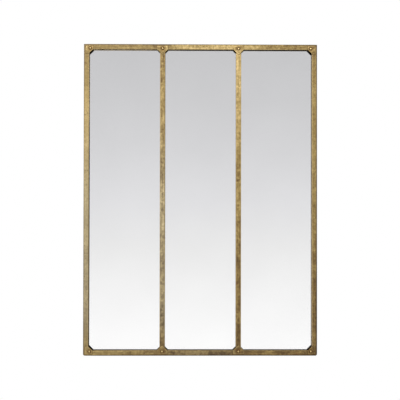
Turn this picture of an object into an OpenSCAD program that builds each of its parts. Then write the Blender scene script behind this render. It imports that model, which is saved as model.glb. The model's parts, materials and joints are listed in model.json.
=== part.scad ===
// Industrial wall mirror: a riveted window-style frame of flat tube with three tall mirror panes.
// X runs across the mirror, Z up it, and the front faces -Y.
// The origin lies on the wall, midway between the two hooks that carry the hanger rings.

/* [Frame] */
// Width of the frame over its outer edges
frame_w = 900; // [600:10:1200]
// Height of the frame over its outer edges
frame_h = 1200; // [800:10:1800]
// Width of the outer tubes, seen from the front
face_w = 20; // [20:1:36]
// Depth of the front tubes and mullions
face_d = 12; // [8:0.5:20]
// Wall of every tube
tube_wall = 1.2; // [0.8:0.1:1.4]
// Rounding of the long edges of every tube
arris_r = 1.5; // [0.5:0.1:2.5]
// Rounding of the two upper corners of the frame
top_corner_r = 1.5; // [1.5:0.5:6]
// Rounding of the two lower corners of the frame
low_corner_r = 7; // [2:0.5:12]

/* [Mullions and rebate] */
// Width of the two mullions
mullion_w = 20; // [18:1:36]
// Width of the strips that part the panes behind the mullions
divider_w = 4; // [2:0.5:6]
// Width of the rebate tubes behind the outer tubes
rebate_w = 15; // [14:0.5:15.5]

/* [Panes] */
// Thickness of the mirror glass
pane_t = 4; // [3:0.5:6]
// Gap between a pane's edge and the rebate tube beside it
pane_rebate_gap = 1; // [0.8:0.1:1.5]
// Gap between a pane's edge and the divider strip beside it
pane_divider_gap = 1; // [0.5:0.1:1.5]
// Width of the glazing tape
tape_w = 3; // [2:0.5:3.5]
// Thickness of the glazing tape
tape_t = 1; // [0.5:0.1:2]
// Distance from a pane's edge to the tape
tape_setback = 0.5; // [0.2:0.1:0.8]
// Length of a setting block
block_l = 30; // [15:1:60]

/* [Backing board] */
// Thickness of the backing board
board_t = 5; // [3:0.5:9]
// Gap between the board's edge and the rebate tubes
board_gap = 1.5; // [0.5:0.1:3]

/* [Gusset plates] */
// Thickness of the gusset plates
gusset_t = 2; // [1:0.1:3]
// Distance from the frame's outer edge to a gusset plate
gusset_inset = 7; // [5:0.5:10]
// Leg of a corner plate along each tube
corner_leg = 29; // [26:1:45]
// Half of a tee plate's width across the mullion
tee_half_w = 21; // [18:1:32]

/* [Rivets] */
// Radius of a rivet's shank
rivet_r = 1.6; // [1.2:0.1:1.8]
// Radius of a rivet's domed head
rivet_head_r = 4.5; // [3.5:0.1:6]
// Height of a rivet's domed head
rivet_head_h = 2.4; // [1.5:0.1:3.5]
// Radius of a rivet's set end inside the tube
rivet_tail_r = 2.2; // [2:0.1:2.3]
// Height of a rivet's set end inside the tube
rivet_tail_h = 1.6; // [1:0.1:2.5]
// Distance of every rivet from the frame's upper or lower edge
rivet_inset = 16.5; // [14:0.1:16.5]
// Distance of a corner rivet from the frame's side edge
corner_rivet_inset = 24.5; // [23:0.5:30]
// Radial clearance of a rivet in its holes
rivet_fit = 0.1; // [0.05:0.01:0.2]

/* [Turn buttons] */
// Radius of a turn button round its screw
button_r = 6; // [5:0.5:7]
// Length of a turn button from its screw to its tip
button_l = 22; // [18:0.5:30]
// Width of a turn button's tongue
button_w = 9; // [6:0.5:10]
// Thickness of a turn button
button_t = 1.5; // [1:0.1:2]
// Gap over and under a turn button, so that it turns freely
button_gap = 0.2; // [0.1:0.05:0.4]
// Radial running clearance of a turn button on its screw
button_fit = 0.06; // [0.02:0.01:0.1]
// Distance from the frame's upper or lower edge to the nearest turn button on a stile
stile_button_inset = 300; // [120:10:360]

/* [Screws] */
// Radius of the shank of every screw
screw_r = 2; // [1.5:0.1:2.4]
// Radius of the head of every screw
screw_head_r = 3.8; // [3:0.1:4.2]
// Height of the head of every screw
screw_head_h = 2; // [1.5:0.1:2.2]
// Reach of every screw past the tube's wall
screw_reach = 4; // [2:0.5:6]
// Radial clearance of a screw in the tube's wall and in the hanger plates
screw_fit = 0.1; // [0.05:0.01:0.3]
// Length of the arms of a screw's cross recess
recess_l = 4; // [2.5:0.1:5]
// Width of the arms of a screw's cross recess
recess_w = 0.9; // [0.6:0.1:1.2]
// Depth of a screw's cross recess
recess_d = 1.2; // [0.5:0.1:1.3]

/* [Hangers] */
// Distance from the frame's side edge to the middle of a hanger
hanger_inset = 150; // [80:5:200]
// Length of a hanger plate
hanger_plate_l = 50; // [48:1:70]
// Height of a hanger plate
hanger_plate_h = 13; // [10:0.5:13.5]
// Thickness of a hanger plate and of its rolled eye
hanger_plate_t = 1.2; // [1:0.1:1.2]
// Rounding of a hanger plate's corners
hanger_corner_r = 3; // [1:0.5:5]
// Distance between the two screws of a hanger plate
hanger_screw_pitch = 36; // [34:1:40]
// Length of the rolled eye
eye_l = 14; // [8:0.5:14]
// Distance from the frame's top edge down to the ring's pivot
eye_drop = 18; // [17:0.5:24]
// Gap between the plate and a ring that lies over it
ring_lift = 0.3; // [0.2:0.05:0.4]
// Radius of the ring's wire
wire_r = 1.5; // [1:0.1:1.6]
// Radial running clearance of the ring in its eye
ring_fit = 0.06; // [0.02:0.01:0.1]
// Clear width inside the ring
ring_clear_w = 18; // [18:0.5:20]
// Length of the ring from its pivot to where its round end starts
ring_straight = 5; // [4:0.5:6]
// Bend radius of the ring's two upper corners
ring_bend_r = 3; // [2:0.5:3]

/* [Wall bumpers] */
// Radius of a wall bumper
bumper_r = 6; // [4:0.5:7]
// Thickness of a wall bumper, which sets the frame's distance from the wall
bumper_h = 6; // [6:0.5:12]
// Bevel round a wall bumper's outer face
bumper_bevel = 0.8; // [0.3:0.1:1.5]
// Distance from a bumper's centre to the frame's upper or lower edge
bumper_inset = 40; // [30:1:80]

/* [Hidden] */

// Finishes
brass_paint = [0.64, 0.55, 0.35];
brass_plate = [0.69, 0.58, 0.34];
brass_rivet = [0.60, 0.49, 0.27];
mirror_glass = [0.84, 0.85, 0.87];
black_foam = [0.08, 0.08, 0.08];
grey_block = [0.35, 0.35, 0.36];
board_brown = [0.55, 0.43, 0.31];
zinc_steel = [0.70, 0.71, 0.72];
black_rubber = [0.10, 0.10, 0.10];

// Smoothness of round shapes
$fn = 48;
// Overlap that lets a cut run past a face
over = 1;
// Smallest radius that an inner corner shrinks to
least_r = 0.1;

// Depths, measured from the back of the frame
rebate_d = tape_t + pane_t + board_t;
frame_d = rebate_d + face_d;
// Clear width of each pane, equal for all three
sight_w = (frame_w - 2 * face_w - 2 * mullion_w) / 3;
mullion_x = (sight_w + mullion_w) / 2;
// Half widths and edges of the panes
pane_low = rebate_w + pane_rebate_gap;
pane_h = frame_h - 2 * pane_low;
centre_pane_w = 2 * (mullion_x - divider_w / 2 - pane_divider_gap);
side_pane_in = mullion_x + divider_w / 2 + pane_divider_gap;
side_pane_w = frame_w / 2 - pane_low - side_pane_in;
side_pane_x = side_pane_in + side_pane_w / 2;
// Centre line of the rebate tubes, where screws and bumpers sit
rebate_mid = rebate_w / 2;
// The ring's wire runs at this half width
ring_r = ring_clear_w / 2 + wire_r;
eye_z = frame_h - eye_drop;
eye_y = hanger_plate_t + ring_lift + wire_r;
eye_bore_r = wire_r + ring_fit;
eye_r = eye_bore_r + hanger_plate_t;
hanger_plate_z = frame_h - rebate_mid;
hanger_x = frame_w / 2 - hanger_inset;
// The hook bears on the ring's round end when the ring stands up
hook_z = eye_z + ring_straight + ring_r - wire_r;

// Places of the turn buttons: [x, z, turn of the tongue towards the board]
stile_button_x = frame_w / 2 - rebate_mid;
left_upper_spot = [-stile_button_x, frame_h - stile_button_inset, 0];
left_lower_spot = [-stile_button_x, stile_button_inset, 0];
right_upper_spot = [stile_button_x, frame_h - stile_button_inset, 180];
right_lower_spot = [stile_button_x, stile_button_inset, 180];
top_left_spot = [-mullion_x, frame_h - rebate_mid, -90];
top_right_spot = [mullion_x, frame_h - rebate_mid, -90];
bottom_left_spot = [-mullion_x, rebate_mid, 90];
bottom_right_spot = [mullion_x, rebate_mid, 90];
button_spots = [
    left_upper_spot, left_lower_spot, right_upper_spot, right_lower_spot,
    top_left_spot, top_right_spot, bottom_left_spot, bottom_right_spot
];
hanger_screw_spots = [
    for (side = [-1, 1], end = [-1, 1])
        [side * hanger_x + end * hanger_screw_pitch / 2, hanger_plate_z]
];
rivet_heights = [rivet_inset, frame_h - rivet_inset];
corner_rivet_spots = [
    for (side = [-1, 1], z = rivet_heights) [side * (frame_w / 2 - corner_rivet_inset), z]
];
tee_rivet_spots = [for (side = [-1, 1], z = rivet_heights) [side * mullion_x, z]];

// Moves the mirror from its own corner of space to its place on the wall
module on_wall() {
    translate([0, -bumper_h, -hook_z]) children();
}

// Draws a flat shape in the plane of the mirror and gives it a thickness towards the front
module slab(back_y, t) {
    translate([0, back_y, 0]) rotate([90, 0, 0]) linear_extrude(t) children();
}

// Turns a round piece that stands on its base so that it points to the front
module to_front(x, y, z) {
    translate([x, y, z]) rotate([90, 0, 0]) children();
}

// Turns a round piece that stands on its base so that it points to the wall
module to_wall(x, y, z) {
    translate([x, y, z]) rotate([-90, 0, 0]) children();
}

// Rectangle with round corners, from the origin
module rounded_section(w, h, r) {
    translate([r, 0]) square([w - 2 * r, h]);
    translate([0, r]) square([w, h - 2 * r]);
    for (x = [r, w - r], y = [r, h - r]) translate([x, y]) circle(r);
}

// Square corner with its outer round cut away, which rounds off a sheet
module corner_waste(r) {
    difference() {
        translate([-over, -over]) square(r + over);
        translate([r, r]) circle(r);
    }
}

// Outline of the whole frame, drawn in by an inset
module frame_outline(inset) {
    low_r = max(low_corner_r - inset, least_r);
    top_r = max(top_corner_r - inset, least_r);
    half_w = frame_w / 2 - inset;
    difference() {
        translate([-half_w, inset]) square([2 * half_w, frame_h - 2 * inset]);
        for (side = [0, 1]) mirror([side, 0]) {
            translate([-half_w, inset]) corner_waste(low_r);
            translate([-half_w, frame_h - inset]) mirror([0, 1]) corner_waste(top_r);
        }
    }
}

// Face of a left stile between its two mitres
module stile_face(w) {
    polygon([
        [-frame_w / 2, 0],
        [-frame_w / 2 + w, w],
        [-frame_w / 2 + w, frame_h - w],
        [-frame_w / 2, frame_h]
    ]);
}

// Face of a bottom rail between its two mitres
module rail_face(w) {
    polygon([
        [-frame_w / 2, 0],
        [frame_w / 2, 0],
        [frame_w / 2 - w, w],
        [-frame_w / 2 + w, w]
    ]);
}

// Mitred upright tube at the left edge, with its open ends in the mitres
module stile_tube(w, back_y, d) {
    difference() {
        intersection() {
            slab(back_y, d) intersection() {
                stile_face(w);
                frame_outline(0);
            }
            translate([-frame_w / 2, back_y - d, 0])
                linear_extrude(frame_h) rounded_section(w, d, arris_r);
        }
        slab(back_y - tube_wall, d - 2 * tube_wall) intersection() {
            translate([tube_wall - frame_w / 2, 0]) square([w - 2 * tube_wall, frame_h]);
            frame_outline(tube_wall);
        }
    }
}

// Mitred level tube at the bottom edge, or at the top edge
module rail_tube(w, back_y, d, top) {
    low_z = top ? frame_h - w : 0;
    difference() {
        intersection() {
            slab(back_y, d) intersection() {
                translate([0, top ? frame_h : 0]) mirror([0, top ? 1 : 0]) rail_face(w);
                frame_outline(0);
            }
            translate([-frame_w / 2, back_y - d, low_z])
                rotate([90, 0, 90]) linear_extrude(frame_w) rounded_section(d, w, arris_r);
        }
        slab(back_y - tube_wall, d - 2 * tube_wall) intersection() {
            translate([-frame_w / 2, low_z + tube_wall]) square([frame_w, w - 2 * tube_wall]);
            frame_outline(tube_wall);
        }
    }
}

// Holes for all rivets through the front walls of the rails
module rivet_holes() {
    for (spot = concat(corner_rivet_spots, tee_rivet_spots))
        to_front(spot[0], tube_wall + over - frame_d, spot[1])
            cylinder(h = tube_wall + 2 * over, r = rivet_r + rivet_fit);
}

// Holes for all screws through the back wall of the rebate tubes
module screw_holes() {
    for (spot = concat(button_spots, hanger_screw_spots))
        to_wall(spot[0], -tube_wall - over, spot[1])
            cylinder(h = tube_wall + 2 * over, r = screw_r + screw_fit);
}

module left_stile() {
    color(brass_paint) on_wall() stile_tube(face_w, -rebate_d, face_d);
}

module right_stile() {
    color(brass_paint) on_wall() mirror([1, 0, 0]) stile_tube(face_w, -rebate_d, face_d);
}

module front_rail(top) {
    difference() {
        rail_tube(face_w, -rebate_d, face_d, top);
        rivet_holes();
    }
}

module top_rail() {
    color(brass_paint) on_wall() front_rail(true);
}

module bottom_rail() {
    color(brass_paint) on_wall() front_rail(false);
}

module rear_stile() {
    difference() {
        stile_tube(rebate_w, 0, rebate_d);
        screw_holes();
    }
}

module left_rebate_tube() {
    color(brass_paint) on_wall() rear_stile();
}

module right_rebate_tube() {
    color(brass_paint) on_wall() mirror([1, 0, 0]) rear_stile();
}

module rear_rail(top) {
    difference() {
        rail_tube(rebate_w, 0, rebate_d, top);
        screw_holes();
    }
}

module top_rebate_tube() {
    color(brass_paint) on_wall() rear_rail(true);
}

module bottom_rebate_tube() {
    color(brass_paint) on_wall() rear_rail(false);
}

// Upright flat tube between the rails, flush with the front of the frame
module mullion(side) {
    translate([side * mullion_x - mullion_w / 2, -frame_d, face_w])
        difference() {
            linear_extrude(frame_h - 2 * face_w) rounded_section(mullion_w, face_d, arris_r);
            translate([tube_wall, tube_wall, -over])
                cube([mullion_w - 2 * tube_wall, face_d - 2 * tube_wall, frame_h]);
        }
}

module left_mullion() {
    color(brass_paint) on_wall() mullion(-1);
}

module right_mullion() {
    color(brass_paint) on_wall() mullion(1);
}

// Flat strip on the back of a mullion, between two panes
module divider_strip(side) {
    slab(-board_t, pane_t + tape_t)
        translate([side * mullion_x - divider_w / 2, rebate_w])
            square([divider_w, frame_h - 2 * rebate_w]);
}

module left_divider_strip() {
    color(brass_paint) on_wall() divider_strip(-1);
}

module right_divider_strip() {
    color(brass_paint) on_wall() divider_strip(1);
}

// Pane of silvered glass that stands on its setting blocks
module mirror_pane(x, w) {
    slab(-board_t, pane_t) translate([x - w / 2, pane_low]) square([w, pane_h]);
}

module left_mirror_pane() {
    color(mirror_glass) on_wall() mirror_pane(-side_pane_x, side_pane_w);
}

module centre_mirror_pane() {
    color(mirror_glass) on_wall() mirror_pane(0, centre_pane_w);
}

module right_mirror_pane() {
    color(mirror_glass) on_wall() mirror_pane(side_pane_x, side_pane_w);
}

// Four strips of foam tape round the front of a pane, the upright ones between the level ones
module glazing_tape(x, w) {
    low_z = pane_low + tape_setback;
    high_z = frame_h - low_z - tape_w;
    half_w = w / 2 - tape_setback;
    slab(-board_t - pane_t, tape_t) {
        for (z = [low_z, high_z]) translate([x - half_w, z]) square([2 * half_w, tape_w]);
        for (left = [-half_w, half_w - tape_w])
            translate([x + left, low_z + tape_w]) square([tape_w, high_z - low_z - tape_w]);
    }
}

module left_glazing_tape() {
    color(black_foam) on_wall() glazing_tape(-side_pane_x, side_pane_w);
}

module centre_glazing_tape() {
    color(black_foam) on_wall() glazing_tape(0, centre_pane_w);
}

module right_glazing_tape() {
    color(black_foam) on_wall() glazing_tape(side_pane_x, side_pane_w);
}

// Two blocks under the bottom edge of each pane, at a quarter of its width from each side
module setting_blocks() {
    panes = [[-side_pane_x, side_pane_w], [0, centre_pane_w], [side_pane_x, side_pane_w]];
    color(grey_block) on_wall() slab(-board_t, pane_t)
        for (pane = panes, side = [-1, 1])
            translate([pane[0] + side * pane[1] / 4 - block_l / 2, rebate_w])
                square([block_l, pane_rebate_gap]);
}

module backing_board() {
    edge = rebate_w + board_gap;
    color(board_brown) on_wall() slab(0, board_t)
        translate([edge - frame_w / 2, edge]) square([frame_w - 2 * edge, frame_h - 2 * edge]);
}

// Flat plate over the lower left mitre, cut off between the tubes' inner edges
module corner_plate() {
    low = gusset_inset;
    far = gusset_inset + corner_leg;
    slab(-frame_d, gusset_t) translate([-frame_w / 2, 0]) difference() {
        polygon([[low, low], [far, low], [far, face_w], [face_w, far], [low, far]]);
        translate([corner_rivet_inset, rivet_inset]) circle(rivet_r + rivet_fit);
    }
}

// Moves a bottom piece to the top edge, turned over
module at_top() {
    translate([0, 0, frame_h]) mirror([0, 0, 1]) children();
}

module top_left_corner_plate() {
    color(brass_plate) on_wall() at_top() corner_plate();
}

module top_right_corner_plate() {
    color(brass_plate) on_wall() at_top() mirror([1, 0, 0]) corner_plate();
}

module bottom_left_corner_plate() {
    color(brass_plate) on_wall() corner_plate();
}

module bottom_right_corner_plate() {
    color(brass_plate) on_wall() mirror([1, 0, 0]) corner_plate();
}

// Flat plate over the lower end of a mullion, pointed along it from the rail's inner edge
module tee_plate(side) {
    low = gusset_inset;
    slab(-frame_d, gusset_t) translate([side * mullion_x, 0]) difference() {
        polygon([
            [-tee_half_w, low],
            [tee_half_w, low],
            [tee_half_w, face_w],
            [0, face_w + tee_half_w],
            [-tee_half_w, face_w]
        ]);
        translate([0, rivet_inset]) circle(rivet_r + rivet_fit);
    }
}

module top_left_tee_plate() {
    color(brass_plate) on_wall() at_top() tee_plate(-1);
}

module top_right_tee_plate() {
    color(brass_plate) on_wall() at_top() tee_plate(1);
}

module bottom_left_tee_plate() {
    color(brass_plate) on_wall() tee_plate(-1);
}

module bottom_right_tee_plate() {
    color(brass_plate) on_wall() tee_plate(1);
}

// Dome-headed rivet through a gusset plate and the tube's front wall, set inside the tube
module rivet(spot) {
    dome_r = (pow(rivet_head_r, 2) + pow(rivet_head_h, 2)) / (2 * rivet_head_h);
    grip = gusset_t + tube_wall;
    to_front(spot[0], -frame_d - gusset_t, spot[1]) {
        rotate_extrude() intersection() {
            translate([0, rivet_head_h - dome_r]) circle(dome_r);
            square([rivet_head_r, rivet_head_h]);
        }
        translate([0, 0, -grip]) cylinder(h = grip, r = rivet_r);
        translate([0, 0, -grip - rivet_tail_h]) cylinder(h = rivet_tail_h, r = rivet_tail_r);
    }
}

module corner_rivets() {
    color(brass_rivet) on_wall() for (spot = corner_rivet_spots) rivet(spot);
}

module tee_rivets() {
    color(brass_rivet) on_wall() for (spot = tee_rivet_spots) rivet(spot);
}

// Steel button that turns on its screw and laps over the board's edge
module turn_button(spot) {
    tip_r = button_w / 2;
    color(zinc_steel) on_wall()
        translate([spot[0], button_gap + button_t, spot[1]]) rotate([0, -spot[2], 0])
            slab(0, button_t) difference() {
                union() {
                    circle(button_r);
                    translate([0, -tip_r]) square([button_l - tip_r, button_w]);
                    translate([button_l - tip_r, 0]) circle(tip_r);
                }
                circle(screw_r + button_fit);
            }
}

module left_upper_button() {
    turn_button(left_upper_spot);
}

module left_lower_button() {
    turn_button(left_lower_spot);
}

module right_upper_button() {
    turn_button(right_upper_spot);
}

module right_lower_button() {
    turn_button(right_lower_spot);
}

module top_left_button() {
    turn_button(top_left_spot);
}

module top_right_button() {
    turn_button(top_right_spot);
}

module bottom_left_button() {
    turn_button(bottom_left_spot);
}

module bottom_right_button() {
    turn_button(bottom_right_spot);
}

// Screw whose head sits a given distance off the tube's back, with a cross recess
module screw(spot, seat) {
    to_wall(spot[0], 0, spot[1]) {
        translate([0, 0, -tube_wall - screw_reach])
            cylinder(h = tube_wall + screw_reach + seat, r = screw_r);
        translate([0, 0, seat]) difference() {
            cylinder(h = screw_head_h, r = screw_head_r);
            for (turn = [0, 90]) rotate(turn)
                translate([-recess_l / 2, -recess_w / 2, screw_head_h - recess_d])
                    cube([recess_l, recess_w, recess_d + over]);
        }
    }
}

module turn_button_screws() {
    color(zinc_steel) on_wall()
        for (spot = button_spots) screw(spot, button_t + 2 * button_gap);
}

module hanger_screws() {
    color(zinc_steel) on_wall() for (spot = hanger_screw_spots) screw(spot, hanger_plate_t);
}

// Screwed plate with a tongue rolled into an eye below it
module hanger_plate(side) {
    low_z = hanger_plate_z - hanger_plate_h / 2;
    color(zinc_steel) on_wall() translate([side * hanger_x, 0, 0]) difference() {
        union() {
            slab(hanger_plate_t, hanger_plate_t) {
                translate([-hanger_plate_l / 2, low_z])
                    rounded_section(hanger_plate_l, hanger_plate_h, hanger_corner_r);
                translate([-eye_l / 2, eye_z]) square([eye_l, low_z - eye_z + over]);
            }
            translate([-eye_l / 2, eye_y, eye_z]) rotate([0, 90, 0])
                cylinder(h = eye_l, r = eye_r);
        }
        translate([-eye_l / 2 - over, eye_y, eye_z]) rotate([0, 90, 0])
            cylinder(h = eye_l + 2 * over, r = eye_bore_r);
        for (end = [-1, 1])
            to_wall(end * hanger_screw_pitch / 2, -over, hanger_plate_z)
                cylinder(h = hanger_plate_t + 2 * over, r = screw_r + screw_fit);
    }
}

module left_hanger_plate() {
    hanger_plate(-1);
}

module right_hanger_plate() {
    hanger_plate(1);
}

// Part of the ring's wire that bends in the plane of the ring, drawn from the bend's centre
module wire_bend(bend_r, start, angle) {
    rotate([90, 0, 0]) rotate(start) rotate_extrude(angle = angle)
        translate([bend_r, 0]) circle(wire_r);
}

// Wire ring with a straight bar in the eye and a round end that hangs down
module hanger_ring(side) {
    bar = ring_r - ring_bend_r;
    color(zinc_steel) on_wall() translate([side * hanger_x, eye_y, eye_z]) {
        translate([-bar, 0, 0]) rotate([0, 90, 0]) cylinder(h = 2 * bar, r = wire_r);
        translate([-bar, 0, -ring_bend_r]) wire_bend(ring_bend_r, 90, 90);
        translate([bar, 0, -ring_bend_r]) wire_bend(ring_bend_r, 0, 90);
        for (x = [-ring_r, ring_r])
            translate([x, 0, -ring_straight]) cylinder(h = ring_straight - ring_bend_r, r = wire_r);
        translate([0, 0, -ring_straight]) wire_bend(ring_r, 180, 180);
    }
}

module left_hanger_ring() {
    hanger_ring(-1);
}

module right_hanger_ring() {
    hanger_ring(1);
}

// Rubber foot on the back of a stile that stands the mirror off the wall
module bumper(side, z) {
    color(black_rubber) on_wall() to_wall(side * (frame_w / 2 - rebate_mid), 0, z) {
        cylinder(h = bumper_h - bumper_bevel, r = bumper_r);
        translate([0, 0, bumper_h - bumper_bevel])
            cylinder(h = bumper_bevel, r1 = bumper_r, r2 = bumper_r - bumper_bevel);
    }
}

module top_left_bumper() {
    bumper(-1, frame_h - bumper_inset);
}

module top_right_bumper() {
    bumper(1, frame_h - bumper_inset);
}

module bottom_left_bumper() {
    bumper(-1, bumper_inset);
}

module bottom_right_bumper() {
    bumper(1, bumper_inset);
}

left_stile();
right_stile();
top_rail();
bottom_rail();
left_rebate_tube();
right_rebate_tube();
top_rebate_tube();
bottom_rebate_tube();
left_mullion();
right_mullion();
left_divider_strip();
right_divider_strip();
left_mirror_pane();
centre_mirror_pane();
right_mirror_pane();
left_glazing_tape();
centre_glazing_tape();
right_glazing_tape();
setting_blocks();
backing_board();
top_left_corner_plate();
top_right_corner_plate();
bottom_left_corner_plate();
bottom_right_corner_plate();
top_left_tee_plate();
top_right_tee_plate();
bottom_left_tee_plate();
bottom_right_tee_plate();
corner_rivets();
tee_rivets();
left_upper_button();
left_lower_button();
right_upper_button();
right_lower_button();
top_left_button();
top_right_button();
bottom_left_button();
bottom_right_button();
turn_button_screws();
left_hanger_plate();
right_hanger_plate();
left_hanger_ring();
right_hanger_ring();
hanger_screws();
top_left_bumper();
top_right_bumper();
bottom_left_bumper();
bottom_right_bumper();
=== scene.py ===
import json
from math import pi, radians

import bmesh
import bpy
from mathutils import Matrix, Quaternion, Vector


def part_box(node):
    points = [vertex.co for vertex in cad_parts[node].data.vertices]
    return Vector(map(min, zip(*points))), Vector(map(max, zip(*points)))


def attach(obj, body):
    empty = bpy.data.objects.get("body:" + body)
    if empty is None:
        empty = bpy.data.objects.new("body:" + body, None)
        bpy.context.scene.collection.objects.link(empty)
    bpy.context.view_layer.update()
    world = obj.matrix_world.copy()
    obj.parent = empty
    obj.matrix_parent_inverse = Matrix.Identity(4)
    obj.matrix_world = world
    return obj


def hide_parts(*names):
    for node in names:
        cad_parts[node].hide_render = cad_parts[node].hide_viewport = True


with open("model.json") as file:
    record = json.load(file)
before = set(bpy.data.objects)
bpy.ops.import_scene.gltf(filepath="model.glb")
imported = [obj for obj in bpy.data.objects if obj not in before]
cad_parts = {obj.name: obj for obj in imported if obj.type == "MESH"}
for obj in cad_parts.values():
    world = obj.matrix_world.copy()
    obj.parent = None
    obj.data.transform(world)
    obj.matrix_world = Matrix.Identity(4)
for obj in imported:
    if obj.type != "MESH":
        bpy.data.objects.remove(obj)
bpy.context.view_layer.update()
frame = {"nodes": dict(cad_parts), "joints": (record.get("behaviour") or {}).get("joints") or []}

# Camera: a long lens about 3 m in front of the mirror, a touch left of its middle and a touch
# below it, which gives the photograph's faint keystone.
camera_place = Vector((-0.034, -3.1, -0.6322))
camera_aim = Vector((-0.0017, -0.026, -0.5972))
camera_roll = radians(0.093)
bpy.ops.object.camera_add(location=camera_place)
camera = bpy.context.active_object
camera.data.sensor_width = 36
camera.data.lens = 71.78
look = (camera_aim - camera_place).to_track_quat("-Z", "Y")
camera.rotation_euler = (look @ Quaternion((0, 0, 1), camera_roll)).to_euler()
bpy.context.scene.camera = camera
bpy.context.scene.view_settings.view_transform = "Standard"

# Front tubes: four flat steel tubes, mitred at the corners, welded and ground flush. Their antique
# brass patina carries a painted highlight high on the faces, painted shade along the outer edge and
# down the recess, and a painted sheen on the left.
stile_low, stile_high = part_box("left_stile")
frame_left = stile_low.x
frame_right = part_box("right_stile")[1].x
frame_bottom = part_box("bottom_rail")[0].z
frame_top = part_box("top_rail")[1].z
face_front = stile_low.y
face_back = stile_high.y
face_width = stile_high.x - stile_low.x
half_size = Vector(((frame_right - frame_left) / 2, 0, (frame_top - frame_bottom) / 2))
frame_middle = Vector((0, 0, (frame_top + frame_bottom) / 2))
low_corner_radius = 0.007
low_corner_steps = 8
top_corner_radius = 0.0015
top_corner_steps = 4
arris_radius = 0.0015
outer_arris_radius = 0.00144
arris_steps = 3
weld_groove = 0.0003
touching = 1e-5
doubles_apart = 2e-6
cut_accuracy = 1e-6


def deselect():
    """Leaves nothing selected, in object mode."""
    bpy.ops.object.select_all(action="DESELECT")


def new_piece(name):
    """Names the primitive that was just added and puts its place, turn and size into its mesh."""
    piece = bpy.context.active_object
    piece.name = name
    piece.data.name = name
    bpy.ops.object.transform_apply(location=True, rotation=True, scale=True)
    return piece


def flat_blank(name, low, high, y):
    """Upright rectangle from one corner to the other that faces the front."""
    deselect()
    middle = ((low[0] + high[0]) / 2, y, (low[1] + high[1]) / 2)
    bpy.ops.mesh.primitive_plane_add(size=1, location=middle, rotation=(pi / 2, 0, 0))
    bpy.context.active_object.scale = (high[0] - low[0], high[1] - low[1], 1)
    return new_piece(name)


def block_blank(name, low, high):
    """Rectangular block between two corners."""
    deselect()
    bpy.ops.mesh.primitive_cube_add(size=1, location=(Vector(low) + Vector(high)) / 2)
    bpy.context.active_object.scale = Vector(high) - Vector(low)
    return new_piece(name)


def copy_of(piece, name):
    """Copy of a piece with a mesh of its own."""
    deselect()
    twin = piece.copy()
    twin.data = piece.data.copy()
    bpy.context.scene.collection.objects.link(twin)
    twin.name = name
    twin.data.name = name
    return twin


def edit(piece):
    """Opens a piece for editing with nothing in it selected."""
    deselect()
    piece.select_set(True)
    bpy.context.view_layer.objects.active = piece
    bpy.ops.object.mode_set(mode="EDIT")
    bpy.ops.mesh.select_all(action="DESELECT")


def pick(kind, test=None):
    """Selects the vertices, edges or faces of the open piece that pass a test, or else all."""
    bpy.ops.mesh.select_mode(type=kind)
    bpy.ops.mesh.select_all(action="DESELECT")
    data = bpy.context.edit_object.data
    shape = bmesh.from_edit_mesh(data)
    for part in {"VERT": shape.verts, "EDGE": shape.edges, "FACE": shape.faces}[kind]:
        corners = [part] if kind == "VERT" else part.verts
        middle = sum((corner.co for corner in corners), Vector()) / len(corners)
        part.select_set(bool(test is None or test(middle, part)))
    shape.select_flush_mode()
    bmesh.update_edit_mesh(data)


def pick_all():
    """Selects the whole of the open piece."""
    bpy.ops.mesh.select_all(action="SELECT")


def move(x=0, y=0, z=0):
    """Moves what is selected."""
    bpy.ops.transform.translate(value=(x, y, z))


def extrude(x=0, y=0, z=0):
    """Draws out the selected faces or edges."""
    bpy.ops.mesh.extrude_region_move(TRANSFORM_OT_translate={"value": (x, y, z)})


def round_edges(radius, steps=2):
    """Rounds the selected edges."""
    bpy.ops.mesh.bevel(offset=radius, segments=steps, affect="EDGES", clamp_overlap=False)


def close_edit(angle=35):
    """Merges doubles, turns all faces outwards, leaves edit mode and smooths the shallow edges."""
    pick_all()
    bpy.ops.mesh.remove_doubles(threshold=doubles_apart)
    pick_all()
    bpy.ops.mesh.normals_make_consistent(inside=False)
    bpy.ops.object.mode_set(mode="OBJECT")
    bpy.ops.object.shade_smooth_by_angle(angle=radians(angle))


def frame_slab(name, back, front):
    """Plate over the whole frame, with rounded corners and edges, that the tubes are cut from."""
    slab = flat_blank(name, (frame_left, frame_bottom), (frame_right, frame_top), back)
    edit(slab)
    pick("VERT", lambda middle, part: middle.z < frame_middle.z)
    bpy.ops.mesh.bevel(offset=low_corner_radius, segments=low_corner_steps, affect="VERTICES")
    pick("VERT", lambda middle, part: middle.z > frame_middle.z + half_size.z / 2)
    bpy.ops.mesh.bevel(offset=top_corner_radius, segments=top_corner_steps, affect="VERTICES")
    pick("FACE")
    extrude(y=front - back)
    pick("EDGE", lambda middle, part: min(abs(middle.y - back), abs(middle.y - front)) < touching)
    round_edges(outer_arris_radius, arris_steps)
    close_edit()
    return slab


def cut(point, keep):
    """Cuts the open piece through a point and keeps the part on the side that keep points to."""
    pick_all()
    bpy.ops.mesh.bisect(
        plane_co=point, plane_no=keep, use_fill=True, clear_inner=True, threshold=cut_accuracy
    )


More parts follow.
